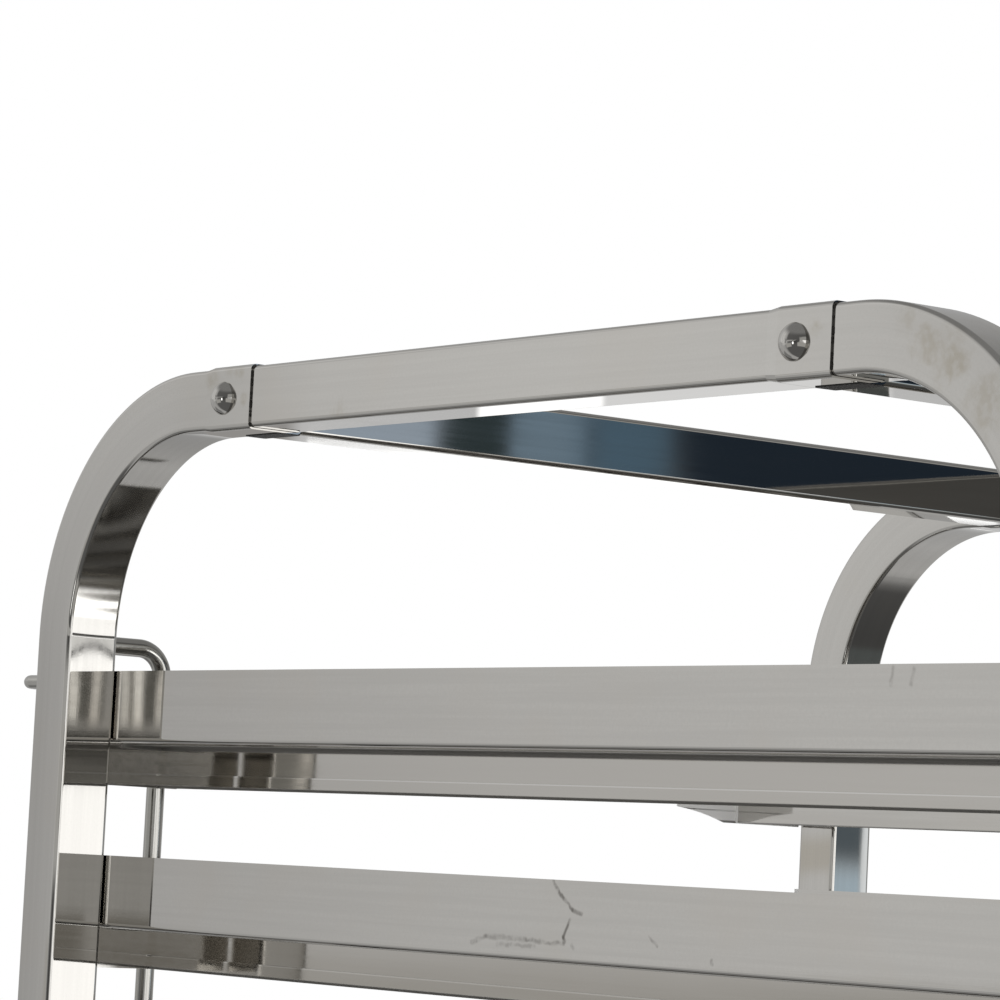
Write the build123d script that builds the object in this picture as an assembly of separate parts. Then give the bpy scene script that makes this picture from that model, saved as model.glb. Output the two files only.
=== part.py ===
from build123d import *
import os

# A wheeled tray rack of bent square tube. Sizes are in millimetres.
# X runs across the rack, Y from the loading end (-Y) to the back, Z up from the floor.

# Frame
WIDTH = 470.0
DEPTH = 620.0
HEIGHT = 1735.0
TUBE = 25.0
WALL = 1.2
TUBE_CORNER = 2.0
BORE_CORNER = 0.8
BEND_RADIUS = 96.0
POST_FOOT = 152.0

# Belled tube ends, which slip over the plain end of the next tube
BELL_GAP = 0.1
BELL_WALL = 0.7
BELL_LENGTH = 33.8
BELL_TAPER = 6.0
BELL_CORNER = 2.4
BELL_BORE_CORNER = 1.7
FRONT_STUB = 44.0
REAR_STUB = 11.7
SLIP_DEPTH = 27.0
BOLT_FROM_SEAM = 18.7

# Cross bars and base rails
BUTT_GAP = 0.3
BASE_CROSS_Z = 200.0
BASE_RAIL_Z = 230.0

# Dome-headed bolts and the threaded plugs that they screw into
BOLT_R = 3.0
BOLT_HOLE_R = 3.2
BOLT_HEAD_R = 6.8
BOLT_HEAD_HEIGHT = 5.0
BOLT_HEAD_RIM = 0.6
BOLT_GRIP = 22.0
PLUG_FLANGE = 4.0
PLUG_LENGTH = 26.0
PLUG_GAP = 0.1
THREAD_GAP = 0.05

# Runners: web, ledge and lip, seen along Y, measured inwards from the post
LEVELS = 18
PITCH = 79.0
TOP_LEDGE_Z = 1583.8
SHEET = 1.0
WEB_GAP = 0.5
WEB_HEIGHT = 29.7
LEDGE_EDGE = 43.0
LIP_DROP = 18.9
HEM_HEIGHT = 6.1
HEM_EDGE = 0.4
FOLD_ROUND = 0.9
BEND_INSIDE = 1.0
DIMPLE_R = 4.0
DIMPLE_HEIGHT = 14.0
END_TAB_FLAT = 7.0
END_TAB_MIDDLE = (22.0, -14.7)
END_TAB_REACH = (37.0, -12.4)
STOP_WIDTH = 38.0
STOP_HEIGHT = 16.0
STOP_CORNER = 0.4

# Swinging lock bar at the loading end and the two eyes that it turns in
LOCK_R = 4.0
LOCK_OUT = 10.0
LOCK_ARM = 59.1
LOCK_BEND = 13.0
LOCK_TOP_Z = 1626.0
LOCK_BOTTOM_Z = 200.0
LOCK_LEG = 34.0
EYE_GAP = 0.3
EYE_WIRE_R = 2.9
EYE_DROP = 18.4

# Castors
WHEEL_R = 62.5
TYRE_WIDTH = 32.0
TYRE_INNER_R = 47.0
TYRE_SHOULDER = 7.0
TYRE_FLARE = 3.0
HUB_GAP = 0.05
HUB_RIM = 6.0
HUB_RIM_WIDTH = 30.0
HUB_WEB = 8.0
HUB_FILLET = 3.0
HUB_BOSS_R = 15.0
HUB_BOSS_WIDTH = 36.0
HUB_RIBS = 8
RIB_SHEET = 3.0
RIB_INSET = 3.0
RIB_ROOT = 1.0
TRAIL = 36.0
AXLE_R = 4.0
RUNNING_GAP = 0.05
FORK_INSIDE = 38.0
FORK_SHEET = 3.0
FORK_TOP_Z = 137.0
FORK_PLATE_R = 27.0
FORK_NOSE = 28.0
FORK_BACK = 27.0
FORK_EYE_R = 13.0
FORK_CORNER = 6.0
CHEEK_INSET = 4.0
AXLE_HEAD_R = 7.0
AXLE_HEAD = 5.0
AXLE_HEAD_GAP = 0.1
AXLE_END = 1.0
RACE_R = 22.0
RACE_LOWER = 4.0
RACE_COVER = 2.0
RACE_ROUND = 1.5
FACE_GAP = 0.3
STEM_R = 6.0
STEM_HEAD_R = 9.5
STEM_HEAD = 4.0
STEM_SHORT = 2.0
FOOT_PLATE = 2.0
FOOT_PLUG = 30.0

# Brake pedals, on two castors at opposite corners
PIVOT_Y = -6.0
PIVOT_Z = 121.0
PIVOT_R = 3.0
PIVOT_END = 1.0
PEDAL_WIDTH = 34.0
PEDAL_SHEET = 3.0
PEDAL_TIP_Y = -48.0
PEDAL_TIP_Z = 107.0
PEDAL_LIP = 6.0
PEDAL_LIP_LEAN = 1.0
PEDAL_SLEEVE_R = 5.0
SHOE_GAP = 0.5
SHOE_REACH = 7.0
SHOE_DROP = 14.0

BORE = TUBE - 2 * WALL
BAR_END = BUTT_GAP + PLUG_FLANGE + PLUG_GAP
BELL_OUTSIDE = TUBE + 2 * BELL_GAP + 2 * BELL_WALL
POST_X = (WIDTH - TUBE) / 2
POST_Y = (DEPTH - TUBE) / 2
BAR_Z = HEIGHT - TUBE / 2
POST_INNER_X = WIDTH / 2 - TUBE
BEND_END_Y = POST_Y - BEND_RADIUS
FRONT_SEAM_Y = -BEND_END_Y + FRONT_STUB
REAR_SEAM_Y = BEND_END_Y - REAR_STUB
FRONT_BOLT_Y = FRONT_SEAM_Y - BOLT_FROM_SEAM
REAR_BOLT_Y = REAR_SEAM_Y - BOLT_FROM_SEAM
BELL_INNER_X = POST_X - BELL_OUTSIDE / 2
BELL_OUTER_X = POST_X + BELL_OUTSIDE / 2
SIDES = {"left": -1, "right": 1}
ENDS = {"front": -1, "rear": 1}
CORNERS = [(end, side) for end in ENDS for side in SIDES]
BRAKED = [("front", "left"), ("rear", "right")]
SAME_POINT = 0.001


def square(size, corner):
    """A rounded square, the section of a tube or of its bore."""
    return RectangleRounded(size, size, corner)


def facing(origin, direction):
    """A plane at a tube's start, looking along the tube, with its sides square to the frame."""
    across = (0, 1, 0) if direction[0] else (1, 0, 0)
    return Plane(origin=origin, x_dir=across, z_dir=direction)


def corners_at(face, points):
    """The corners of a flat face that lie at the given points."""
    wanted = [Vector(*point) for point in points]
    return [v for v in face.vertices() if min((v.center() - w).length for w in wanted) < SAME_POINT]


def straight_tube(start, length):
    outside = extrude(start * square(TUBE, TUBE_CORNER), length)
    bore = extrude(start * square(BORE, BORE_CORNER), length)
    return outside - bore


def bell(start):
    """A tube end stretched to slip over another tube, with a short taper first."""
    mouth = start.offset(BELL_TAPER)
    straight = BELL_LENGTH - BELL_TAPER
    wide = BELL_OUTSIDE - 2 * BELL_WALL
    narrow_out = start * square(TUBE, TUBE_CORNER)
    wide_out = mouth * square(BELL_OUTSIDE, BELL_CORNER)
    narrow_in = start * square(BORE, BORE_CORNER)
    wide_in = mouth * square(wide, BELL_BORE_CORNER)
    outside = loft([narrow_out, wide_out]) + extrude(wide_out, straight)
    inside = loft([narrow_in, wide_in]) + extrude(wide_in, straight)
    return outside - inside


def hole(direction, point, radius, length):
    """A round cutter or pin centred on a point, along X or Y."""
    turn = Rot(0, 90, 0) if direction == "x" else Rot(90, 0, 0)
    return Pos(*point) * turn * Cylinder(radius, length)


def bent_post(end, side):
    """An upright whose top bends inwards into the top of the side frame."""
    x = POST_X * SIDES[side]
    y = POST_Y * ENDS[end]
    belled = end == "front"
    if belled:
        tip = FRONT_SEAM_Y - BELL_LENGTH
    else:
        tip = REAR_SEAM_Y - SLIP_DEPTH
    path = FilletPolyline((x, y, POST_FOOT), (x, y, BAR_Z), (x, tip, BAR_Z), radius=BEND_RADIUS)
    start = facing((x, y, POST_FOOT), (0, 0, 1))
    outside = sweep(start * square(TUBE, TUBE_CORNER), path=path)
    bore = sweep(start * square(BORE, BORE_CORNER), path=path)
    post = outside - bore
    if belled:
        post += bell(facing((x, tip, BAR_Z), (0, 1, 0)))
    bolt_y = FRONT_BOLT_Y if belled else REAR_BOLT_Y
    post -= hole("x", (x, bolt_y, BAR_Z), BOLT_HOLE_R, 2 * TUBE)
    post -= hole("x", (x, y, BASE_CROSS_Z), BOLT_HOLE_R, 2 * TUBE)
    post -= hole("y", (x, y, BASE_RAIL_Z), BOLT_HOLE_R, 2 * TUBE)
    return post


def top_bar(side):
    """The straight top of a side frame: plain front end, belled rear end."""
    x = POST_X * SIDES[side]
    front_tip = FRONT_SEAM_Y - SLIP_DEPTH
    bell_start = REAR_SEAM_Y - BELL_LENGTH
    bar = straight_tube(facing((x, front_tip, BAR_Z), (0, 1, 0)), bell_start - front_tip)
    bar += bell(facing((x, bell_start, BAR_Z), (0, 1, 0)))
    for bolt_y in (FRONT_BOLT_Y, REAR_BOLT_Y):
        bar -= hole("x", (x, bolt_y, BAR_Z), BOLT_HOLE_R, 2 * TUBE)
    return bar


def cross_bar(y, z, inner_x):
    length = 2 * (inner_x - BAR_END)
    return straight_tube(facing((-length / 2, y, z), (1, 0, 0)), length)


def side_rail(side):
    length = DEPTH - 2 * (TUBE + BAR_END)
    return straight_tube(facing((POST_X * SIDES[side], -length / 2, BASE_RAIL_Z), (0, 1, 0)), length)


def dome_bolt(point, direction, grip):
    """A dome-headed bolt. The point is under its head and the direction is the way it screws in."""
    cap_rise = BOLT_HEAD_HEIGHT - BOLT_HEAD_RIM
    cap_r = (BOLT_HEAD_R ** 2 + cap_rise ** 2) / (2 * cap_rise)
    down = (Align.CENTER, Align.CENTER, Align.MAX)
    blank = Cylinder(BOLT_HEAD_R, BOLT_HEAD_HEIGHT, align=down)
    head = blank & Pos(0, 0, cap_r - BOLT_HEAD_HEIGHT) * Sphere(cap_r)
    shank = Cylinder(BOLT_R, grip, align=(Align.CENTER, Align.CENTER, Align.MIN))
    return facing(point, direction).location * (head + shank)


def threaded_plug(point, direction):
    """A flanged block in a bar's end, bored for a bolt. The point is the middle of its outer face."""
    start = facing(point, direction)
    flange = extrude(start * square(TUBE, TUBE_CORNER), PLUG_FLANGE)
    block = extrude(start * square(BORE - 2 * PLUG_GAP, BORE_CORNER), PLUG_LENGTH)
    bore = extrude(start * Circle(BOLT_R + THREAD_GAP), PLUG_LENGTH)
    return flange + block - bore


def runner_section():
    """The runner's sheet seen along Y: u runs inwards from the post, v up from the ledge's top."""
    outer = WEB_GAP
    inner = WEB_GAP + SHEET
    hem = LEDGE_EDGE - 2 * SHEET
    lip = LEDGE_EDGE - SHEET
    corners = [
        (outer, WEB_HEIGHT),
        (inner, WEB_HEIGHT),
        (inner, 0),
        (LEDGE_EDGE, 0),
        (LEDGE_EDGE, -LIP_DROP),
        (hem, -LIP_DROP),
        (hem, HEM_HEIGHT - LIP_DROP),
        (lip, HEM_HEIGHT - LIP_DROP),
        (lip, -SHEET),
        (outer, -SHEET),
    ]
    face = make_face(Polyline(*corners, close=True))
    face = fillet(corners_at(face, [(inner, 0), (lip, -SHEET)]), BEND_INSIDE)
    face = fillet(corners_at(face, [(hem, HEM_HEIGHT - LIP_DROP)]), HEM_EDGE)
    face = fillet(corners_at(face, [(hem, -LIP_DROP), (LEDGE_EDGE, -LIP_DROP)]), FOLD_ROUND)
    return fillet(corners_at(face, [(LEDGE_EDGE, 0), (outer, -SHEET)]), BEND_INSIDE + SHEET)


def end_tab():
    """The turned-down front end of a runner, which reaches in past the lip and curves up."""
    drop = -LIP_DROP
    foot = LEDGE_EDGE + END_TAB_FLAT
    tip = (LEDGE_EDGE + END_TAB_REACH[0], END_TAB_REACH[1])
    middle = (LEDGE_EDGE + END_TAB_MIDDLE[0], END_TAB_MIDDLE[1])
    top = -SHEET / 2
    left = WEB_GAP + SHEET
    edges = [
        Polyline((tip[0], tip[1]), (tip[0], top), (left, top), (left, drop), (foot, drop)),
        ThreePointArc((foot, drop), middle, tip),
    ]
    return make_face(edges)


def runner(level):
    """One right-hand runner at its height, with its end tab, back stop and weld dimples."""
    z = TOP_LEDGE_Z - PITCH * level
    front = Plane(origin=(POST_INNER_X, -DEPTH / 2, z), x_dir=(-1, 0, 0), z_dir=(0, 1, 0))
    rail = extrude(front * runner_section(), DEPTH)
    rail += extrude(front * end_tab(), SHEET)
    stop_u = WEB_GAP + SHEET + STOP_WIDTH / 2
    stop_v = (STOP_HEIGHT - SHEET / 2) / 2
    stop = Pos(stop_u, stop_v) * RectangleRounded(STOP_WIDTH, STOP_HEIGHT + SHEET / 2, STOP_CORNER)
    rail += extrude(front.offset(DEPTH - SHEET) * stop, SHEET)
    for y in (-POST_Y, POST_Y):
        centre = (POST_INNER_X - WEB_GAP / 2, y, z + DIMPLE_HEIGHT)
        rail += hole("x", centre, DIMPLE_R, WEB_GAP)
    return rail


def lock_bar():
    """A bent round bar that hangs in two eyes on the right front post and swings across the trays."""
    y = -DEPTH / 2 - LOCK_OUT
    pivot = POST_X
    arm = POST_X - LOCK_ARM
    points = [
        (pivot, y, LOCK_TOP_Z - LOCK_LEG),
        (pivot, y, LOCK_TOP_Z),
        (arm, y, LOCK_TOP_Z),
        (arm, y, LOCK_BOTTOM_Z),
        (pivot, y, LOCK_BOTTOM_Z),
        (pivot, y, LOCK_BOTTOM_Z - LOCK_LEG),
    ]
    path = FilletPolyline(*points, radius=LOCK_BEND)
    return sweep(facing(points[0], (0, 0, 1)) * Circle(LOCK_R), path=path)


def lock_eye(z):
    """A wire staple on the face of the post, round the lock bar."""
    bend = LOCK_R + EYE_GAP + EYE_WIRE_R
    face_y = -DEPTH / 2
    y = face_y - LOCK_OUT
    legs = Line((POST_X - bend, face_y, z), (POST_X - bend, y, z))
    turn = ThreePointArc((POST_X - bend, y, z), (POST_X, y - bend, z), (POST_X + bend, y, z))
    back = Line((POST_X + bend, y, z), (POST_X + bend, face_y, z))
    path = Wire([legs, turn, back])
    start = Plane(origin=(POST_X - bend, face_y, z), z_dir=(0, -1, 0))
    return sweep(start * Circle(EYE_WIRE_R), path=path)


def castor_place(end, side):
    """A castor is drawn with its wheel trailing along +Y, and stands with the wheel turned inwards."""
    turn = 0 if end == "front" else 180
    return Pos(POST_X * SIDES[side], POST_Y * ENDS[end], 0) * Rot(0, 0, turn)


def about_axle(half):
    """Spins a half section, drawn as (width, radius), round the axle."""
    return Pos(0, TRAIL, WHEEL_R) * revolve(Plane.XY * half, Axis.X)


def tyre():
    half = TYRE_WIDTH / 2
    inner_half = HUB_RIM_WIDTH / 2
    inner = TYRE_INNER_R + HUB_GAP
    flare = inner + TYRE_FLARE
    corners = [
        (-inner_half, inner),
        (inner_half, inner),
        (half, flare),
        (half, WHEEL_R),
        (-half, WHEEL_R),
        (-half, flare),
    ]
    section = make_face(Polyline(*corners, close=True))
    shoulders = corners_at(section, [(half, WHEEL_R), (-half, WHEEL_R)])
    return about_axle(fillet(shoulders, TYRE_SHOULDER))


def wheel_hub():
    bore = AXLE_R + RUNNING_GAP
    rim_bottom = TYRE_INNER_R - HUB_RIM
    rim = HUB_RIM_WIDTH / 2
    web = HUB_WEB / 2
    boss = HUB_BOSS_WIDTH / 2
    outline = [
        (rim, TYRE_INNER_R),
        (rim, rim_bottom),
        (web, rim_bottom),
        (web, HUB_BOSS_R),
        (boss, HUB_BOSS_R),
        (boss, bore),
    ]
    other_half = [(-x, r) for x, r in reversed(outline)]
    section = make_face(Polyline(*outline, *other_half, close=True))
    hollows = [(x, r) for x in (-web, web) for r in (rim_bottom, HUB_BOSS_R)]
    hub = about_axle(fillet(corners_at(section, hollows), HUB_FILLET))
    rib_length = rim_bottom - HUB_BOSS_R + 2 * RIB_ROOT
    rib_width = HUB_RIM_WIDTH - 2 * RIB_INSET
    rib = Pos(0, 0, (rim_bottom + HUB_BOSS_R) / 2) * Box(rib_width, RIB_SHEET, rib_length)
    for k in range(HUB_RIBS):
        hub += Pos(0, TRAIL, WHEEL_R) * Rot(360 * k / HUB_RIBS, 0, 0) * rib
    return hub


def fork():
    """The swivelling fork: a top plate, two cheeks down to the axle and the lower race."""
    plate_bottom = FORK_TOP_Z - FORK_SHEET
    outside = FORK_INSIDE + 2 * FORK_SHEET
    plate_length = FORK_NOSE + FORK_BACK
    plate = Pos(0, (FORK_BACK - FORK_NOSE) / 2) * RectangleRounded(outside, plate_length, FORK_CORNER)
    plate += Circle(FORK_PLATE_R)
    body = extrude(Plane.XY.offset(plate_bottom) * plate, FORK_SHEET)
    cheek_top = plate_bottom + FORK_SHEET / 2
    top = Line((CHEEK_INSET - FORK_NOSE, cheek_top), (FORK_BACK - CHEEK_INSET, cheek_top))
    eye = CenterArc((TRAIL, WHEEL_R), FORK_EYE_R, 0, 360)
    cheek = make_hull([top.edge(), eye.edge()])
    cheek -= Pos(TRAIL, WHEEL_R) * Circle(AXLE_R + RUNNING_GAP)
    cheek -= Pos(PIVOT_Y, PIVOT_Z) * Circle(PIVOT_R + RUNNING_GAP)
    for x in (-outside / 2, FORK_INSIDE / 2):
        body += extrude(Plane(origin=(x, 0, 0), x_dir=(0, 1, 0), z_dir=(1, 0, 0)) * cheek, FORK_SHEET)
    body += extrude(Plane.XY.offset(FORK_TOP_Z) * Circle(RACE_R), RACE_LOWER)
    return body - Pos(0, 0, FORK_TOP_Z) * Cylinder(STEM_R + RUNNING_GAP, 4 * FORK_SHEET)


def axle():
    """The axle bolt, with its head and its nut outside the cheeks."""
    cheek = FORK_INSIDE / 2 + FORK_SHEET
    rod = hole("x", (0, TRAIL, WHEEL_R), AXLE_R, 2 * (cheek + AXLE_HEAD + AXLE_END))
    for sign in (-1, 1):
        start = facing((sign * (cheek + AXLE_HEAD_GAP), TRAIL, WHEEL_R), (sign, 0, 0))
        rod += extrude(start * RegularPolygon(AXLE_HEAD_R, 6), AXLE_HEAD)
    return rod


def pivot_pin():
    """The pin that the brake pedal rocks on, riveted through both cheeks."""
    cheek = FORK_INSIDE / 2 + FORK_SHEET
    return hole("x", (0, PIVOT_Y, PIVOT_Z), PIVOT_R, 2 * (cheek + PIVOT_END))


def brake_pedal():
    """A rocking pedal: a sleeve on its pin, a foot plate outwards and a shoe that bears on the tyre."""
    half = PEDAL_WIDTH / 2
    side = Plane(origin=(-half, 0, 0), x_dir=(0, 1, 0), z_dir=(1, 0, 0))
    sleeve = Pos(PIVOT_Y, PIVOT_Z) * Circle(PEDAL_SLEEVE_R)
    plate = make_face(
        Polyline(
            (PIVOT_Y, PIVOT_Z + PEDAL_SLEEVE_R),
            (PEDAL_TIP_Y, PEDAL_TIP_Z + PEDAL_SHEET),
            (PEDAL_TIP_Y - PEDAL_LIP_LEAN, PEDAL_TIP_Z + PEDAL_SHEET - PEDAL_LIP),
            (PEDAL_TIP_Y + PEDAL_SHEET, PEDAL_TIP_Z),
            (PIVOT_Y - PEDAL_SLEEVE_R, PIVOT_Z),
            close=True,
        )
    )
    shoe = make_face(
        Polyline(
            (PIVOT_Y - PEDAL_SLEEVE_R, PIVOT_Z),
            (PIVOT_Y - SHOE_REACH, PIVOT_Z - SHOE_DROP),
            (PIVOT_Y + SHOE_REACH, PIVOT_Z - SHOE_REACH),
            (PIVOT_Y + PEDAL_SLEEVE_R, PIVOT_Z),
            close=True,
        )
    )
    profile = sleeve + plate + shoe
    profile -= Pos(TRAIL, WHEEL_R) * Circle(WHEEL_R + SHOE_GAP)
    profile -= Pos(PIVOT_Y, PIVOT_Z) * Circle(PIVOT_R + RUNNING_GAP)
    return extrude(side * profile, PEDAL_WIDTH)


def castor_stem():
    """The king pin and stem: its head under the fork, its shank up in the post."""
    fork_bottom = FORK_TOP_Z - FORK_SHEET
    head_z = fork_bottom - FACE_GAP - STEM_HEAD
    up = (Align.CENTER, Align.CENTER, Align.MIN)
    head = Pos(0, 0, head_z) * Cylinder(STEM_HEAD_R, STEM_HEAD, align=up)
    shank_top = POST_FOOT + FOOT_PLUG - STEM_SHORT
    shank = Pos(0, 0, head_z) * Cylinder(STEM_R, shank_top - head_z, align=up)
    return head + shank


def upper_race():
    bottom = FORK_TOP_Z + RACE_LOWER + FACE_GAP
    top = POST_FOOT - FOOT_PLATE
    ring = Circle(RACE_R + RACE_COVER) - Circle(STEM_R + RUNNING_GAP)
    body = extrude(Plane.XY.offset(bottom) * ring, top - bottom)
    rim = body.edges().filter_by(GeomType.CIRCLE).filter_by(lambda e: e.radius > RACE_R)
    return fillet(rim, RACE_ROUND)


def foot_plug():
    """The plastic plug in a post's foot, which the castor's stem goes up into."""
    plate = extrude(Plane.XY.offset(POST_FOOT - FOOT_PLATE) * square(TUBE, TUBE_CORNER), FOOT_PLATE)
    plug = extrude(Plane.XY.offset(POST_FOOT) * square(BORE - 2 * PLUG_GAP, BORE_CORNER), FOOT_PLUG)
    bore = Pos(0, 0, POST_FOOT) * Cylinder(STEM_R + RUNNING_GAP, 4 * FOOT_PLUG)
    return plate + plug - bore


def frame_nodes():
    nodes = {}
    for end, side in CORNERS:
        nodes[f"post_{end}_{side}"] = bent_post(end, side)
    for side in SIDES:
        nodes[f"top_bar_{side}"] = top_bar(side)
        nodes[f"base_rail_{side}"] = side_rail(side)
    nodes["top_cross_bar_front"] = cross_bar(FRONT_BOLT_Y, BAR_Z, BELL_INNER_X)
    nodes["top_cross_bar_rear"] = cross_bar(REAR_BOLT_Y, BAR_Z, BELL_INNER_X)
    for end in ENDS:
        nodes[f"base_cross_bar_{end}"] = cross_bar(POST_Y * ENDS[end], BASE_CROSS_Z, POST_INNER_X)
    return nodes


def fastener_nodes():
    top_bolts, top_plugs, cross_bolts, rail_bolts, base_plugs = [], [], [], [], []
    bell_grip = BELL_OUTSIDE + BUTT_GAP + BOLT_GRIP
    post_grip = TUBE + BUTT_GAP + BOLT_GRIP
    for end, side in CORNERS:
        s = SIDES[side]
        e = ENDS[end]
        y = FRONT_BOLT_Y if end == "front" else REAR_BOLT_Y
        top_bolts.append(dome_bolt((s * BELL_OUTER_X, y, BAR_Z), (-s, 0, 0), bell_grip))
        top_plugs.append(threaded_plug((s * (BELL_INNER_X - BUTT_GAP), y, BAR_Z), (-s, 0, 0)))
        cross_bolts.append(dome_bolt((s * WIDTH / 2, e * POST_Y, BASE_CROSS_Z), (-s, 0, 0), post_grip))
        rail_bolts.append(dome_bolt((s * POST_X, e * DEPTH / 2, BASE_RAIL_Z), (0, -e, 0), post_grip))
        cross_end = POST_INNER_X - BUTT_GAP
        base_plugs.append(threaded_plug((s * cross_end, e * POST_Y, BASE_CROSS_Z), (-s, 0, 0)))
        rail_end = DEPTH / 2 - TUBE - BUTT_GAP
        base_plugs.append(threaded_plug((s * POST_X, e * rail_end, BASE_RAIL_Z), (0, -e, 0)))
    return {
        "top_bolts": Compound(top_bolts),
        "top_threaded_plugs": Compound(top_plugs),
        "base_cross_bolts": Compound(cross_bolts),
        "base_rail_bolts": Compound(rail_bolts),
        "base_threaded_plugs": Compound(base_plugs),
    }


def runner_nodes():
    nodes = {}
    for level in range(LEVELS):
        right = runner(level)
        left = mirror(right, about=Plane.YZ)
        nodes[f"runner_pair_{level + 1:02d}"] = Compound([left, right])
    return nodes


def lock_nodes():
    eyes = [lock_eye(z - EYE_DROP) for z in (LOCK_TOP_Z, LOCK_BOTTOM_Z)]
    return {"lock_bar": lock_bar(), "lock_bar_eyes": Compound(eyes)}


def castor_nodes():
    nodes = {}
    places = {corner: castor_place(*corner) for corner in CORNERS}
    for corner, place in places.items():
        name = "_".join(corner)
        nodes[f"castor_fork_{name}"] = place * fork()
        nodes[f"castor_axle_{name}"] = place * axle()
        nodes[f"wheel_hub_{name}"] = place * wheel_hub()
        nodes[f"tyre_{name}"] = place * tyre()
        if corner in BRAKED:
            nodes[f"brake_pedal_{name}"] = place * brake_pedal()
            nodes[f"brake_pin_{name}"] = place * pivot_pin()
    nodes["castor_stems"] = Compound([place * castor_stem() for place in places.values()])
    nodes["castor_races"] = Compound([place * upper_race() for place in places.values()])
    nodes["post_foot_plugs"] = Compound([place * foot_plug() for place in places.values()])
    return nodes


os.makedirs("parts", exist_ok=True)
parts = {**frame_nodes(), **fastener_nodes(), **runner_nodes(), **lock_nodes(), **castor_nodes()}
for name, shape in parts.items():
    export_step(shape, f"parts/{name}.step")
print(len(parts), "nodes")
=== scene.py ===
import math

import bpy
from mathutils import Matrix, Vector


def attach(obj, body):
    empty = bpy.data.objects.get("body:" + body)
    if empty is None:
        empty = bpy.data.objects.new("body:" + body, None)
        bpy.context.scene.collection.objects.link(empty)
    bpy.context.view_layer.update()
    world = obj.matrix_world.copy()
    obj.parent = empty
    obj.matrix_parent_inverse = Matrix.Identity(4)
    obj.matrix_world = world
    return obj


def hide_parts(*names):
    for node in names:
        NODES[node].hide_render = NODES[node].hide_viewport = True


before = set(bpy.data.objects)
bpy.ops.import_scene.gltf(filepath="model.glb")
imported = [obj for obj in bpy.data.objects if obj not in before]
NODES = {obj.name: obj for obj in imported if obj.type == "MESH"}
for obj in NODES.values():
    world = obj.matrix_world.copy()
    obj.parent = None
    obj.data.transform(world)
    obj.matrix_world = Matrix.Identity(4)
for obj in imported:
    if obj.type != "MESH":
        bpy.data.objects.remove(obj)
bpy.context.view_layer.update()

# The camera of the photograph, in metres and degrees. Headings are measured from +X towards +Y.
CAMERA_PLACE = Vector((1.1949, 1.2493, 1.5388))
CAMERA_HEADING = 232.24
CAMERA_PITCH = 4.93
CAMERA_ROLL = 2.9
FOCAL_PIXELS = 4227.71
IMAGE_PIXELS = 1000
SENSOR_MM = 36.0

# The side frames, in metres. X runs across the rack, Y from its front to its rear, and Z up.
WIDTH = 0.47
DEPTH = 0.62
HEIGHT = 1.735
TUBE = 0.025
TUBE_CORNER = 0.002
TUBE_WALL = 0.0012
POST_FOOT = 0.152
BEND_RADIUS = 0.096
POST_X = (WIDTH - TUBE) / 2
POST_Y = (DEPTH - TUBE) / 2
BAR_Z = HEIGHT - TUBE / 2
BEND_CENTRE_Y = POST_Y - BEND_RADIUS
BEND_CENTRE_Z = BAR_Z - BEND_RADIUS
SIDES = {"left": -1, "right": 1}
ENDS = {"front": -1, "rear": 1}

# The slip joints along the tops of the side frames
BELL_SIZE = 0.0266
BELL_CORNER = 0.0024
BELL_BORE = 0.0252
BELL_BORE_CORNER = 0.0017
BELL_TAPER = 0.006
BELL_LENGTH = 0.0338
SLIP_DEPTH = 0.027
FRONT_SEAM_TO_BEND = 0.044
REAR_SEAM_TO_BEND = 0.0117
SEAM_Y = {"front": FRONT_SEAM_TO_BEND - BEND_CENTRE_Y, "rear": BEND_CENTRE_Y - REAR_SEAM_TO_BEND}

# Black sheets under the right-hand slip joints, a painted shadow for the gap there
SHADOW_SHEET_WIDTH = 0.01
SHADOW_SHEET_LENGTH = 0.0255
SHADOW_SHEET_CORNER = 0.001
SHADOW_SHEET_THICKNESS = 0.0003
SHADOW_SHEET_TO_SEAM = 0.0129

# The runners
SHEET = 0.001
RUNNER_PITCH = 0.079
WEB_X = 0.2095
LIP_OUTER_X = 0.17
LIP_DROP = 0.0189
TOP_LIP_Z = 1.5649
HEM_HEIGHT = 0.0061
TAB_Y = -0.307

# The lock bar
LOCK_RADIUS = 0.004
LOCK_BEND = 0.013
LOCK_Y = -0.32
LOCK_ARM_X = 0.1634
LOCK_TOP_Z = 1.626
LOCK_BOTTOM_Z = 0.2
LOCK_LEG = 0.034

FULL_TURN = 2 * math.pi
QUARTER_TURN = math.pi / 2

# How finely round stretches are drawn
CORNER_STEPS = 6
BEND_STEPS = 48
ROD_STEPS = 32
ROD_BEND_STEPS = 24


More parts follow.
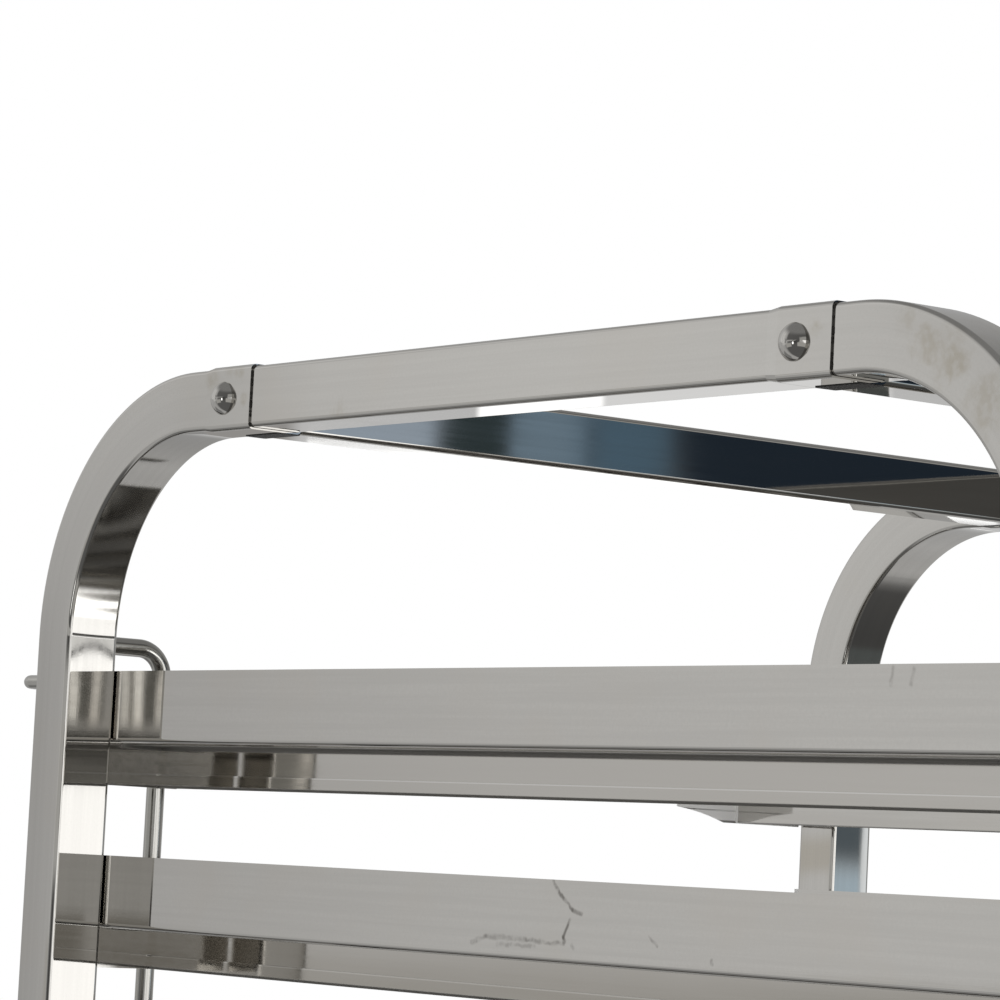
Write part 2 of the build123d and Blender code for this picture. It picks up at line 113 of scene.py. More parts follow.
class Graph:
    """Short ways to add linked nodes to a node tree."""

    def __init__(self, tree):
        self.tree = tree
        tree.nodes.clear()

    def node(self, kind, **settings):
        made = self.tree.nodes.new(kind)
        for name, value in settings.items():
            setattr(made, name, value)
        return made

    def put(self, value, socket):
        if isinstance(value, bpy.types.NodeSocket):
            self.tree.links.new(value, socket)
        else:
            socket.default_value = value

    def math(self, operation, a, b=0.0):
        made = self.node("ShaderNodeMath", operation=operation)
        self.put(a, made.inputs[0])
        self.put(b, made.inputs[1])
        return made.outputs[0]

    def all_of(self, operation, values):
        result = values[0]
        for value in values[1:]:
            result = self.math(operation, result, value)
        return result

    def vector(self, operation, a, b=(0.0, 0.0, 0.0)):
        made = self.node("ShaderNodeVectorMath", operation=operation)
        self.put(a, made.inputs[0])
        self.put(b, made.inputs[1])
        number = operation in ("DOT_PRODUCT", "LENGTH", "DISTANCE")
        return made.outputs["Value" if number else "Vector"]

    def apart(self, vector):
        made = self.node("ShaderNodeSeparateXYZ")
        self.put(vector, made.inputs[0])
        return made.outputs[0], made.outputs[1], made.outputs[2]

    def joined(self, x, y, z):
        made = self.node("ShaderNodeCombineXYZ")
        for value, socket in zip((x, y, z), made.inputs):
            self.put(value, socket)
        return made.outputs[0]

    def remap(self, value, low, high, to_low=0.0, to_high=1.0):
        made = self.node("ShaderNodeMapRange", interpolation_type="SMOOTHSTEP")
        for given, socket in zip((value, low, high, to_low, to_high), made.inputs):
            self.put(given, socket)
        return made.outputs["Result"]

    def blend(self, share, a, b):
        made = self.node("ShaderNodeMix", data_type="RGBA")
        self.put(share, made.inputs["Factor"])
        self.put(rgba(a), made.inputs["A"])
        self.put(rgba(b), made.inputs["B"])
        return made.outputs["Result"]

    def noise(self, place, scale, detail=2.0, roughness=0.5):
        made = self.node("ShaderNodeTexNoise")
        self.put(place, made.inputs["Vector"])
        made.inputs["Scale"].default_value = scale
        made.inputs["Detail"].default_value = detail
        made.inputs["Roughness"].default_value = roughness
        return made.outputs["Fac"]

    def ramp(self, value, stops):
        made = self.node("ShaderNodeValToRGB")
        elements = made.color_ramp.elements
        elements.remove(elements[1])
        for number, (position, colour) in enumerate(stops):
            element = elements.new(position) if number else elements[0]
            element.position = position
            element.color = rgba(colour)
        self.put(value, made.inputs[0])
        return made.outputs["Color"]

    def bump(self, height, surface):
        """Tilts the surface by a height in metres."""
        made = self.node("ShaderNodeBump")
        made.inputs["Strength"].default_value = 1.0
        made.inputs["Distance"].default_value = 1.0
        self.put(height, made.inputs["Height"])
        self.put(made.outputs[0], surface.inputs["Normal"])


def rgba(colour):
    """A colour with its alpha, from a grey level, three numbers or a socket."""
    if isinstance(colour, bpy.types.NodeSocket):
        return colour
    if isinstance(colour, (int, float)):
        return (colour, colour, colour, 1.0)
    return (*colour[:3], 1.0)


def scaled(colour, factor):
    """A colour made lighter or darker."""
    return [min(level * factor, 1.0) for level in colour]


# Materials

STEEL = (0.62, 0.605, 0.575)
WARM_STEEL = (0.605, 0.575, 0.53)
LIP_STEEL = (0.57, 0.55, 0.515)
# Painted highlight along the hems, and painted light on the left-hand front tabs
PAINTED_LIGHT_STEEL = (0.9, 0.89, 0.87)
ROD_STEEL = (0.52, 0.51, 0.48)
ZINC = (0.6, 0.61, 0.63)
TYRE_GREY = (0.2, 0.21, 0.22)
HUB_BLACK = (0.05, 0.05, 0.055)
PLUG_BLACK = (0.015, 0.015, 0.015)
DIRT_BROWN = (0.022, 0.019, 0.016)
# Painted shade along the lips' bottom edges and in the folds under the ledges
PAINTED_SHADE = (0.14, 0.135, 0.125)
STAIN = (0.44, 0.4, 0.32)
SCUFF = (0.16, 0.15, 0.135)

# Polished steel: how often its unevenness repeats per metre and how deep it is in metres
LINE_SCALE = 1300.0
LINE_DEPTH = 0.5e-6
PIT_SCALE = 800.0
PIT_DEPTH = 0.3e-6
WAVE_SCALE = 20.0
WAVE_DEPTH = 3.0e-5
STREAK_SCALE = 330.0
CLOUD_SCALE = 18.0
FINE_NOISE = {"detail": 3.0, "roughness": 0.6}
GRAIN_SQUEEZE = 0.02
# Its tones as factors of the colour, shares of other tones, and roughness as factors of the given one
PIT_TONES = (0.985, 1.015)
STREAK_TONE = 0.94
STREAK_SHARE = 0.7
CLOUD_SHARE = 0.4
ROUGH_FACTORS = (0.75, 1.35)
# The middle of a noise's values, and values between which a tone or the roughness changes
NOISE_MIDDLE = 0.5
TONE_NOISE = (0.3, 0.7)
CLOUD_NOISE = (0.5, 0.72)
ROUGH_NOISE = (0.25, 0.75)

# Rubber, plastic and dirt: tones as factors of the colour, spread of roughness, depth as a share of a grain
DULL_TONES = (0.8, 1.2)
DULL_ROUGH_NOISE = (0.2, 0.8)
DULL_ROUGH_SPREAD = 0.08
DULL_DEPTH = 0.08

# Where a mark or finish begins, in metres: it is nought at a pair's first value and full at its second
RIGHT_SIDE = (0.205, 0.207)
LEFT_SIDE = (0.0, -0.01)
INTO_BEND = (0.0, 0.02)
WEB_SIDE = (WEB_X - 0.004, WEB_X - 0.002)
LIP_SIDE = (LIP_OUTER_X + 0.0005, LIP_OUTER_X)
FOLD_PAINTED_SHADE_ACROSS = (LIP_OUTER_X + 0.024, LIP_OUTER_X + 0.012)
TAB_FRONT = (TAB_Y, TAB_Y - 0.0005)
# The same for lines along a lip, by height from one sheet below its edge or by distance from the hem's line
HEM_LINE = HEM_HEIGHT + SHEET - 0.0003
HEM_HIGHLIGHT_REACH = (0.0004, 0.0002)
BOTTOM_PAINTED_SHADE = (0.0024, 0.0018)
FOLD_PAINTED_SHADE_TOP = (LIP_DROP + 0.0006, LIP_DROP + 0.0003)
FOLD_PAINTED_SHADE_BOTTOM = (LIP_DROP - 0.0018, LIP_DROP - 0.001)
# The same for how far a face of a lip is turned away from the middle of the rack
FACING_OUT = (-0.5, -0.1)

# How strongly the marks, the painted hem highlight, the painted shade and the finishes of the runners and
# bends show
LIP_SHARE = 0.8
HEM_HIGHLIGHT_SHARE = 0.4
PAINTED_SHADE_SHARE = 0.85
STEEL_SPECULAR = 0.5
WEB_ROUGH_FACTOR = 0.37
DULLED_ROUGHNESS = 0.5
BEND_ROUGHNESS = 0.06

# Curvature of the nearly flat sides of the posts, across the rack and across the side frame, per metre
CROWN_ACROSS = -1.0
CROWN_OUTWARDS = 1.0
# Heights between which the first of them grows from nought
CROWN_HEIGHTS = (BEND_CENTRE_Z + 0.035, BEND_CENTRE_Z - 0.025)

# Brown stains on the right-hand side frame: Y, Z, radius and strength
TUBE_STAINS = [
    (0.2372, 1.7171, 0.009, 0.4),
    (0.2494, 1.71, 0.007, 0.5),
    (0.2669, 1.6971, 0.011, 0.45),
    (0.2256, 1.7256, 0.006, 0.3),
    (0.2449, 1.7143, 0.014, 0.25),
    (0.1815, 1.7269, 0.004, 0.5),
    (-0.1653, 1.7322, 0.004, 0.4),
    (-0.1612, 1.7218, 0.003, 0.5),
    (-0.1852, 1.7285, 0.005, 0.25),
    (-0.1729, 1.736, 0.005, 0.25),
    (-0.0952, 1.7114, 0.006, 0.25),
    (-0.186, 1.7324, 0.006, 0.2),
]
# Their unevenness: its scale, then noise from and to, and strength from and to
STAIN_PATCH_SCALE = 350.0
STAIN_PATCHES = (0.3, 0.65, 0.4, 1.0)
# Their edges: the scale of the raggedness, then sizes in radii
STAIN_EDGE_SCALE = 150.0
STAIN_RAGGED = 2.0
STAIN_REACH = 1.2
STAIN_CORE = 0.2

# Dark scuffs on the right-hand webs: the two ends as Y and Z, the width and the strength
WEB_SCUFFS = [
    ((0.0207, 1.5344), (0.0246, 1.5297), 0.0007, 0.7),
    ((0.0246, 1.5297), (0.0333, 1.5238), 0.0007, 0.8),
    ((0.0333, 1.5238), (0.0381, 1.5221), 0.0008, 0.6),
    ((0.0319, 1.52), (0.0283, 1.5132), 0.0007, 0.8),
    ((0.0283, 1.5132), (0.029, 1.5118), 0.0009, 0.8),
    ((-0.027, 1.5089), (-0.0186, 1.5115), 0.0009, 0.45),
    ((-0.0186, 1.5115), (0.007, 1.5119), 0.0009, 0.4),
    ((0.007, 1.5119), (0.0285, 1.5107), 0.0008, 0.5),
    ((-0.011, 1.5092), (0.012, 1.5095), 0.0008, 0.35),
    ((0.0338, 1.5106), (0.0345, 1.5098), 0.0009, 0.5),
    ((0.0775, 1.5158), (0.0822, 1.5124), 0.0006, 0.45),
    ((0.1126, 1.5089), (0.113, 1.508), 0.0008, 0.5),
    ((0.1992, 1.6122), (0.199, 1.6064), 0.0008, 0.3),
    ((0.21, 1.6121), (0.2084, 1.6064), 0.0009, 0.3),
]
# Their unevenness: its scale, then noise from and to, and strength from and to
SCUFF_PATCH_SCALE = 260.0
SCUFF_PATCHES = (0.32, 0.6, 0.3, 1.0)
# Their edges in widths, then the scale of their wandering and its size in metres
SCUFF_REACH = 1.7
SCUFF_CORE = 0.2
SCUFF_WANDER_SCALE = 160.0
SCUFF_WANDER = 0.003


def shader(name):
    """A new material with its graph, its surface and the place on the object."""
    material = bpy.data.materials.new(name)
    material.use_nodes = True
    graph = Graph(material.node_tree)
    out = graph.node("ShaderNodeOutputMaterial")
    surface = graph.node("ShaderNodeBsdfPrincipled")
    graph.tree.links.new(surface.outputs[0], out.inputs["Surface"])
    place = graph.node("ShaderNodeTexCoord").outputs["Object"]
    return material, graph, surface, place


def out_of_bend(graph, place):
    """Distance out from the middle of a side frame's bend, and how far into the bend a place is."""
    _, y, z = graph.apart(place)
    out_y = graph.math("MAXIMUM", graph.math("SUBTRACT", graph.math("ABSOLUTE", y), BEND_CENTRE_Y), 0.0)
    out_z = graph.math("MAXIMUM", graph.math("SUBTRACT", z, BEND_CENTRE_Z), 0.0)
    return graph.vector("LENGTH", graph.joined(0.0, out_y, out_z)), graph.math("MINIMUM", out_y, out_z)


def grain_place(graph, place, grain):
    """A place squeezed along the polishing lines, so that noise on it makes long streaks."""
    if grain == "bent":
        x, y, z = graph.apart(place)
        outwards, _ = out_of_bend(graph, place)
        run = graph.math("MULTIPLY", graph.math("SUBTRACT", z, y), GRAIN_SQUEEZE)
        return graph.joined(x, outwards, run)
    stretch = [GRAIN_SQUEEZE if axis == grain else 1.0 for axis in "xyz"]
    return graph.vector("MULTIPLY", place, stretch)


def tube_crown(graph, place):
    """The slight bulge or hollow of a side tube's sides. Those across the rack are flat along the top."""
    x, _, z = graph.apart(place)
    outwards, _ = out_of_bend(graph, place)
    across = graph.math("SUBTRACT", graph.math("ABSOLUTE", x), POST_X)
    beyond = graph.math("SUBTRACT", outwards, BEND_RADIUS)
    curve = graph.remap(z, *CROWN_HEIGHTS, 0.0, -CROWN_ACROSS / 2)
    first = graph.all_of("MULTIPLY", [across, across, curve])
    second = graph.math("MULTIPLY", graph.math("MULTIPLY", beyond, beyond), -CROWN_OUTWARDS / 2)
    return graph.math("ADD", first, second)


def right_side(graph, place):
    """One on the right-hand side frame's outer faces and nought elsewhere."""
    x, _, _ = graph.apart(place)
    return graph.remap(x, *RIGHT_SIDE)


def stained(graph, place, tone):
    """Brown blotches with uneven edges."""
    ragged = graph.math("SUBTRACT", graph.noise(place, STAIN_EDGE_SCALE, detail=3.0), NOISE_MIDDLE)
    patchy = graph.remap(graph.noise(place, STAIN_PATCH_SCALE), *STAIN_PATCHES)
    side = graph.math("MULTIPLY", right_side(graph, place), patchy)
    _, y, z = graph.apart(place)
    flat = graph.joined(0.0, y, z)
    for stain_y, stain_z, radius, strength in TUBE_STAINS:
        far = graph.vector("DISTANCE", flat, (0.0, stain_y, stain_z))
        edge = graph.math("ADD", far, graph.math("MULTIPLY", ragged, radius * STAIN_RAGGED))
        spot = graph.remap(edge, radius * STAIN_REACH, radius * STAIN_CORE, 0.0, strength)
        tone = graph.blend(graph.math("MULTIPLY", spot, side), tone, STAIN)
    return tone


def scuffed(graph, place, tone):
    """Dark scratches along short lines, uneven in strength."""
    patchy = graph.remap(graph.noise(place, SCUFF_PATCH_SCALE), *SCUFF_PATCHES)
    side = graph.math("MULTIPLY", right_side(graph, place), patchy)
    sway = graph.math("SUBTRACT", graph.noise(place, SCUFF_WANDER_SCALE), NOISE_MIDDLE)
    wander = graph.math("MULTIPLY", sway, SCUFF_WANDER)
    _, y, z = graph.apart(place)
    flat = graph.joined(0.0, graph.math("ADD", y, wander), graph.math("ADD", z, wander))
    for start, end, width, strength in WEB_SCUFFS:
        first = Vector((0.0, *start))
        along = Vector((0.0, *end)) - first
        from_start = graph.vector("SUBTRACT", flat, first)
        share = graph.vector("DOT_PRODUCT", from_start, along / along.length_squared)
        share = graph.math("MINIMUM", graph.math("MAXIMUM", share, 0.0), 1.0)
        nearest = graph.vector("MULTIPLY", graph.joined(0.0, share, share), along)
        far = graph.vector("DISTANCE", from_start, nearest)
        line = graph.remap(far, width * SCUFF_REACH, width * SCUFF_CORE, 0.0, strength)
        tone = graph.blend(graph.math("MULTIPLY", line, side), tone, SCUFF)
    return tone


def lip_masks(graph, place):
    """Where a lip's outer side is, the painted highlight along its hem edge, and the painted shade at its
    bottom and under its ledge.
    """
    x, _, z = graph.apart(place)
    across = graph.math("ABSOLUTE", x)
    normal_x, _, _ = graph.apart(graph.node("ShaderNodeTexCoord").outputs["Normal"])
    facing_out = graph.remap(graph.math("MULTIPLY", graph.math("SIGN", x), normal_x), *FACING_OUT)
    up = graph.math("FLOORED_MODULO", graph.math("SUBTRACT", z, TOP_LIP_Z - SHEET), RUNNER_PITCH)
    on_lip = graph.math("MULTIPLY", graph.remap(across, *LIP_SIDE), facing_out)
    from_hem = graph.math("ABSOLUTE", graph.math("SUBTRACT", up, HEM_LINE))
    hem_highlight = graph.math("MULTIPLY", graph.remap(from_hem, *HEM_HIGHLIGHT_REACH), on_lip)
    bottom = graph.math("MULTIPLY", graph.remap(up, *BOTTOM_PAINTED_SHADE), on_lip)
    under_ledge = graph.remap(up, *FOLD_PAINTED_SHADE_TOP)
    near_ledge = graph.remap(up, *FOLD_PAINTED_SHADE_BOTTOM)
    near_lip = graph.remap(across, *FOLD_PAINTED_SHADE_ACROSS)
    fold = graph.all_of("MULTIPLY", [under_ledge, near_ledge, near_lip, facing_out])
    return on_lip, hem_highlight, graph.math("MAXIMUM", bottom, fold)


def dull_and_painted_pale_tab(graph, place):
    """One on the left-hand runners' front tabs and nought elsewhere."""
    x, y, _ = graph.apart(place)
    return graph.math("MULTIPLY", graph.remap(y, *TAB_FRONT), graph.remap(x, *LEFT_SIDE))


def sheet_marks_and_painted_light(graph, place, tone):
    """Scuffs on the webs, darker lips, a painted highlight along each hem, painted light on the left-hand
    front tabs, and painted shade along the lips' bottom edges and under the ledges.
    """
    on_lip, hem_highlight, shade_mask = lip_masks(graph, place)
    tone = graph.blend(graph.math("MULTIPLY", on_lip, LIP_SHARE), scuffed(graph, place, tone), LIP_STEEL)
    # Painted highlight: a pale line along each hem
    tone = graph.blend(graph.math("MULTIPLY", hem_highlight, HEM_HIGHLIGHT_SHARE), tone, PAINTED_LIGHT_STEEL)
    # Painted light: the left-hand front tabs painted pale
    tone = graph.blend(dull_and_painted_pale_tab(graph, place), tone, PAINTED_LIGHT_STEEL)
    # Painted shade along the lips' bottom edges and under the ledges
    return graph.blend(graph.math("MULTIPLY", shade_mask, PAINTED_SHADE_SHARE), tone, PAINTED_SHADE)


def sheet_wear(graph, place, surface, rough):
    """Bright webs, satin lips, flattened hem edges, and dull, unmetallic steel under the painted shade and
    on the pale-painted left-hand front tabs.
    """
    _, hem_highlight, shade_mask = lip_masks(graph, place)
    x, _, _ = graph.apart(place)
    tilt = surface.inputs["Normal"].links[0].from_node
    normal = graph.node("ShaderNodeNewGeometry").outputs["Normal"]
    outwards = graph.joined(graph.math("SIGN", x), 0.0, 0.0)
    graph.put(graph.blend(hem_highlight, normal, outwards), tilt.inputs["Normal"])
    dulled = graph.math("MAXIMUM", shade_mask, dull_and_painted_pale_tab(graph, place))
    graph.put(graph.math("SUBTRACT", 1.0, dulled), surface.inputs["Metallic"])
    specular = graph.remap(shade_mask, 0.0, 1.0, STEEL_SPECULAR, 0.0)
    graph.put(specular, surface.inputs["Specular IOR Level"])
    bright = graph.remap(graph.math("ABSOLUTE", x), *WEB_SIDE, 1.0, WEB_ROUGH_FACTOR)
    rough = graph.math("MULTIPLY", rough, bright)
    return graph.math("ADD", rough, graph.math("MULTIPLY", dulled, DULLED_ROUGHNESS))


def bend_wear(graph, place, _surface, rough):
    """Rougher round the bends."""
    _, in_bend = out_of_bend(graph, place)
    return graph.math("ADD", rough, graph.remap(in_bend, *INTO_BEND, 0.0, BEND_ROUGHNESS))


def steel(name, colour, roughness, grain, marks=None, wear=None, crown=None):
    """Polished stainless steel with fine polishing lines along the grain."""
    material, graph, surface, place = shader(name)
    stretched = grain_place(graph, place, grain)
    lines = graph.noise(stretched, LINE_SCALE, **FINE_NOISE)
    streaks = graph.noise(stretched, STREAK_SCALE, **FINE_NOISE)
    pits = graph.noise(place, PIT_SCALE, **FINE_NOISE)
    cloud = graph.noise(place, CLOUD_SCALE, detail=3.0)
    dark, light = [scaled(colour, factor) for factor in PIT_TONES]
    tone = graph.blend(graph.remap(pits, *TONE_NOISE), dark, light)
    streaky = graph.remap(streaks, *TONE_NOISE, 0.0, STREAK_SHARE)
    tone = graph.blend(streaky, tone, scaled(colour, STREAK_TONE))
    tone = graph.blend(graph.remap(cloud, *CLOUD_NOISE, 0.0, CLOUD_SHARE), tone, WARM_STEEL)
    if marks:
        tone = marks(graph, place, tone)
    graph.put(tone, surface.inputs["Base Color"])
    surface.inputs["Metallic"].default_value = 1.0
    heights = [
        graph.math("MULTIPLY", lines, LINE_DEPTH),
        graph.math("MULTIPLY", pits, PIT_DEPTH),
        graph.math("MULTIPLY", graph.noise(place, WAVE_SCALE, detail=1.0), WAVE_DEPTH),
    ]
    if crown:
        heights.append(crown(graph, place))
    graph.bump(graph.all_of("ADD", heights), surface)
    rough = graph.remap(streaks, *ROUGH_NOISE, *[roughness * factor for factor in ROUGH_FACTORS])
    if wear:
        rough = wear(graph, place, surface, rough)
    graph.put(rough, surface.inputs["Roughness"])
    return material


def dull(name, colour, roughness, scale):
    """Rubber, moulded plastic or dirt, with a fine uneven surface."""
    material, graph, surface, place = shader(name)
    fine = graph.noise(place, scale, detail=4.0, roughness=0.6)
    dark, light = [scaled(colour, factor) for factor in DULL_TONES]
    graph.put(graph.blend(graph.remap(fine, *TONE_NOISE), dark, light), surface.inputs["Base Color"])
    smoothest = roughness - DULL_ROUGH_SPREAD
    roughest = roughness + DULL_ROUGH_SPREAD
    rough = graph.remap(fine, *DULL_ROUGH_NOISE, smoothest, roughest)
    graph.put(rough, surface.inputs["Roughness"])
    graph.bump(graph.math("MULTIPLY", fine, DULL_DEPTH / scale), surface)
    return material


def make_materials():
    """Steels by colour, roughness and grain. Rubber, plastic and dirt by colour, roughness and scale."""
    return {
        "tube_bent": steel("tube_bent", STEEL, 0.022, "bent", stained, bend_wear, tube_crown),
        "tube_across": steel("tube_across", STEEL, 0.03, "x"),
        "tube_lengthways": steel("tube_lengthways", STEEL, 0.05, "y"),
        "runner_sheet": steel("runner_sheet", STEEL, 0.06, "y", sheet_marks_and_painted_light, sheet_wear),
        "polished_rod": steel("polished_rod", ROD_STEEL, 0.08, "z"),
        "bolt_steel": steel("bolt_steel", STEEL, 0.05, "x"),
        "zinc_plate": steel("zinc_plate", ZINC, 0.25, "z"),
        "tyre_rubber": dull("tyre_rubber", TYRE_GREY, 0.6, 900.0),
        "hub_plastic": dull("hub_plastic", HUB_BLACK, 0.4, 1500.0),
        "plug_plastic": dull("plug_plastic", PLUG_BLACK, 0.55, 1500.0),
        "seam_dirt": dull("seam_dirt", DIRT_BROWN, 0.7, 2500.0),
    }


# Which finish goes on nodes whose names begin this way. The longest beginning wins.
FINISHES = {
    "post": "tube_bent",
    "post_foot_plugs": "plug_plastic",
    "top_bar": "tube_bent",
    "top_cross_bar": "tube_across",
    "base_cross_bar": "tube_across",
    "base_rail": "tube_lengthways",
    "runner_pair": "runner_sheet",
    "lock_bar": "polished_rod",
    "top_bolts": "bolt_steel",
    "base_cross_bolts": "bolt_steel",
    "base_rail_bolts": "bolt_steel",
    "castor_axle": "bolt_steel",
    "brake_pin": "bolt_steel",
    "castor": "zinc_plate",
    "brake_pedal": "zinc_plate",
    "top_threaded_plugs": "plug_plastic",
    "base_threaded_plugs": "plug_plastic",
    "tyre": "tyre_rubber",
    "wheel_hub": "hub_plastic",
}


def finish_nodes(materials):
    """Puts the materials on the frame's own meshes."""
    for name, obj in NODES.items():
        start = max((begin for begin in FINISHES if name.startswith(begin)), key=len)
        obj.data.materials.clear()
        obj.data.materials.append(materials[FINISHES[start]])


# Pieces drawn finer than the frame's own meshes


def rounded_rectangle(width, height, corner):
    """Points and outward directions round a section with rounded corners."""
    ring = []
    for quarter in range(4):
        middle = QUARTER_TURN * (quarter + 0.5)
        centre_x = math.copysign(width / 2 - corner, math.cos(middle))
        centre_y = math.copysign(height / 2 - corner, math.sin(middle))
        for step in range(CORNER_STEPS + 1):
            angle = QUARTER_TURN * (quarter + step / CORNER_STEPS)
            out = Vector((math.cos(angle), math.sin(angle)))
            ring.append((Vector((centre_x, centre_y)) + out * corner, out))
    return ring


def rounded_square(size, corner):
    return rounded_rectangle(size, size, corner)


def turns(count):
    """Angles evenly spaced round a full turn."""
    return [FULL_TURN * step / count for step in range(count)]


def circle(radius):
    """Points and outward directions round a rod."""
    ring = []
    for angle in turns(ROD_STEPS):
        out = Vector((math.cos(angle), math.sin(angle)))
        ring.append((out * radius, out))
    return ring


class Skin:
    """Points, their normals and the faces of a mesh that is built up ring by ring."""

    def __init__(self):
        self.points = []
        self.normals = []
        self.faces = []

    def ring(self, centre, first, second, section, normal=None):
        """Adds a section's points and returns their numbers."""
        begin = len(self.points)
        for at, out in section:
            self.points.append(centre + first * at.x + second * at.y)
            self.normals.append(normal or first * out.x + second * out.y)
        return list(range(begin, len(self.points)))

    def between(self, ring, after):
        """Adds the faces from one ring to the next."""
        self.faces.extend(zip(ring, ring[1:] + ring[:1], after[1:] + after[:1], after))

    def piece(self, name, material):
        mesh = bpy.data.meshes.new(name)
        mesh.from_pydata(self.points, [], self.faces)
        mesh.materials.append(material)
        mesh.shade_smooth()
        mesh.normals_split_custom_set_from_vertices(self.normals)
        obj = bpy.data.objects.new(name, mesh)
        bpy.context.scene.collection.objects.link(obj)
        return obj


def wall(skin, stations, section):
    """One surface through all stations. A station is a centre, two axes and its sections by name."""
    rings = []
    for centre, first, second, sections in stations:
        rings.append(skin.ring(centre, first, second, sections[section]))
    for ring, after in zip(rings, rings[1:]):
        if section == "outside":
            skin.between(ring, after)
        else:
            skin.between(after, ring)


def close_ends(skin, stations):
    """A flat face at each end, with a hole where the section has an inside."""
    for station, way in ((stations[0], -1), (stations[-1], 1)):
        centre, first, second, sections = station
        ahead = first.cross(second) * way
        outer = skin.ring(centre, first, second, sections["outside"], ahead)
        if "inside" not in sections:
            skin.faces.append(outer[::way])
            continue
        inner = skin.ring(centre, first, second, sections["inside"], ahead)
        if way > 0:
            skin.between(outer, inner)
        else:
            skin.between(inner, outer)


def swept(name, stations, material):
    """A bar or tube through its stations, closed at both ends."""
    skin = Skin()
    _, _, _, sections = stations[0]
    for section in sections:
        wall(skin, stations, section)
    close_ends(skin, stations)
    return skin.piece(name, material)


def post_stations(end, side):
    """Up the post, round its bend and along to the joint in the top of the side frame."""
    way = ENDS[end]
    x = POST_X * SIDES[side]
    seam = SEAM_Y[end]
    bore = rounded_square(TUBE - 2 * TUBE_WALL, TUBE_CORNER - TUBE_WALL)
    tube = {"outside": rounded_square(TUBE, TUBE_CORNER), "inside": bore}
    across = Vector((way, 0, 0))
    stations = [(Vector((x, way * POST_Y, POST_FOOT)), across, Vector((0, way, 0)), tube)]
    for step in range(BEND_STEPS + 1):
        angle = QUARTER_TURN * step / BEND_STEPS
        out = Vector((0, way * math.cos(angle), math.sin(angle)))
        centre = Vector((x, way * BEND_CENTRE_Y, BEND_CENTRE_Z)) + out * BEND_RADIUS
        stations.append((centre, across, out, tube))
    up = Vector((0, 0, 1))

    def along_top(y, sections):
        stations.append((Vector((x, y, BAR_Z)), across, up, sections))

    if end == "rear":
        along_top(seam - SLIP_DEPTH, tube)
        return stations
    bell_bore = rounded_square(BELL_BORE, BELL_BORE_CORNER)
    bell = {"outside": rounded_square(BELL_SIZE, BELL_CORNER), "inside": bell_bore}
    bell_start = seam - BELL_LENGTH
    along_top(bell_start, tube)
    along_top(bell_start + BELL_TAPER, bell)
    along_top(seam, bell)
    return stations


def smooth_posts(materials):
    """The four posts with finer bends."""
    for end in ENDS:
        for side in SIDES:
            name = f"post_{end}_{side}"
            piece = swept(f"smooth_{name}", post_stations(end, side), materials["tube_bent"])
            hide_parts(name)
            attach(piece, "frame")


def rod_stations(points):
    """Along a polyline in an X-Z plane whose corners are all bent to one radius."""
    section = {"outside": circle(LOCK_RADIUS)}
    across = Vector((0, 1, 0))
    stations = []

    def add(place, ahead):
        stations.append((place, across, ahead.cross(across), section))

    add(points[0], (points[1] - points[0]).normalized())
    for before, corner, after in zip(points, points[1:], points[2:]):
        into = (corner - before).normalized()
        out = (after - corner).normalized()
        centre = corner - into * LOCK_BEND + out * LOCK_BEND
        for step in range(ROD_BEND_STEPS + 1):
            angle = QUARTER_TURN * step / ROD_BEND_STEPS
            ahead = into * math.cos(angle) + out * math.sin(angle)
            away = into * math.sin(angle) - out * math.cos(angle)
            add(centre + away * LOCK_BEND, ahead)
    add(points[-1], (points[-1] - points[-2]).normalized())
    return stations


def smooth_lock_bar(materials):
    """The lock bar with finer bends."""
    corners = [
        (POST_X, LOCK_TOP_Z - LOCK_LEG),
        (POST_X, LOCK_TOP_Z),
        (LOCK_ARM_X, LOCK_TOP_Z),
        (LOCK_ARM_X, LOCK_BOTTOM_Z),
        (POST_X, LOCK_BOTTOM_Z),
        (POST_X, LOCK_BOTTOM_Z - LOCK_LEG),
    ]
    points = [Vector((x, LOCK_Y, z)) for x, z in corners]
    piece = swept("smooth_lock_bar", rod_stations(points), materials["polished_rod"])
    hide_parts("lock_bar")
    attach(piece, "lock_bar")


# Dirt, and black sheets painted as shadow, at the slip joints

# The spacing of the dirt's points and how far it spreads along a tube, in metres
DIRT_SPACING = 0.0006
DIRT_LEAST = 0.00002
DIRT_SPREAD = 0.0001
DIRT_RAGGED = 0.00016
DIRT_BLOB = 0.0016
# Outward directions: below the first there is hardly any dirt, and corners beyond the second have blobs
UNDERSIDE = -0.5
BLOB_FROM = 0.3
# The waves of its ragged edge: turn from point to point, turn from seam to seam, and height
DIRT_WAVES = [(0.37, 1, 1.0), (0.91, 3, 1.0), (2.1, 5, 0.8)]
SEAM_TURN = 9
# Its rise up the end of the socket: the greatest share of it, the slope, and the share of spread up there
DIRT_RISE = 0.9
DIRT_SLOPE = 9000.0
DIRT_TOP_SHARE = 0.5


def dirt_loop():
    """Points close together round the outside of a tube, with their outward directions."""
    loop = []
    ring = rounded_square(TUBE, TUBE_CORNER)
    for (at, out), (after, _) in zip(ring, ring[1:] + ring[:1]):
        count = max(1, round((after - at).length / DIRT_SPACING))
        loop += [(at.lerp(after, step / count), out) for step in range(count)]
    return loop


def dirt_width(number, out, turn):
    """How far the dirt spreads along the tube: ragged, with blobs on the upper corners."""
    if out.y < UNDERSIDE:
        return DIRT_LEAST
    ragged = sum(level * math.sin(number * step + shift * turn) for step, shift, level in DIRT_WAVES)
    blob = max(0.0, abs(out.x) * out.y - BLOB_FROM)
    return max(DIRT_LEAST, DIRT_SPREAD + DIRT_RAGGED * ragged + DIRT_BLOB * blob)


